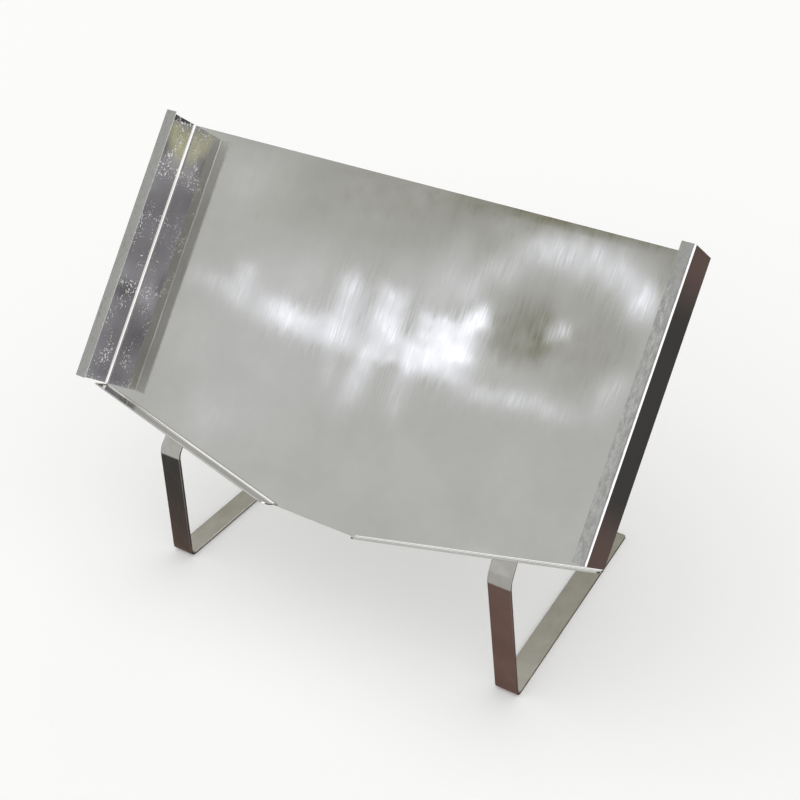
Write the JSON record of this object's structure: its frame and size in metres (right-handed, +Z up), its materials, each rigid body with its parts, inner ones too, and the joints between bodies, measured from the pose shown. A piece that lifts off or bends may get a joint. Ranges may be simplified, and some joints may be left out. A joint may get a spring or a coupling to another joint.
{
  "type": "bench-top discharge chute",
  "caption": "Polished stainless steel sheet chute, a wide tray with side walls and a tapered spout, tipped steeply back on bent flat-bar legs.",
  "frame": {"origin": "on the ground, at the middle of the whole object's footprint box", "axes": "+Z up, +Y from the spout towards the raised back edge, +X to the right of someone facing the spout from the front with the tray rising away from them"},
  "size_m": [0.6, 0.2876, 0.4372],
  "materials": {
    "mirror_sheet": "stainless steel sheet, mirror polished, lightly handled",
    "polished_bar": "stainless steel flat bar, polished",
    "weld_metal": "stainless steel weld, brushed clean"
  },
  "bodies": {
    "root": {"tray": "mirror_sheet", "left_leg": "polished_bar", "right_leg": "polished_bar", "left_leg_inner_weld": "weld_metal", "left_leg_outer_weld": "weld_metal", "right_leg_inner_weld": "weld_metal", "right_leg_outer_weld": "weld_metal"}
  },
  "joints": []
}
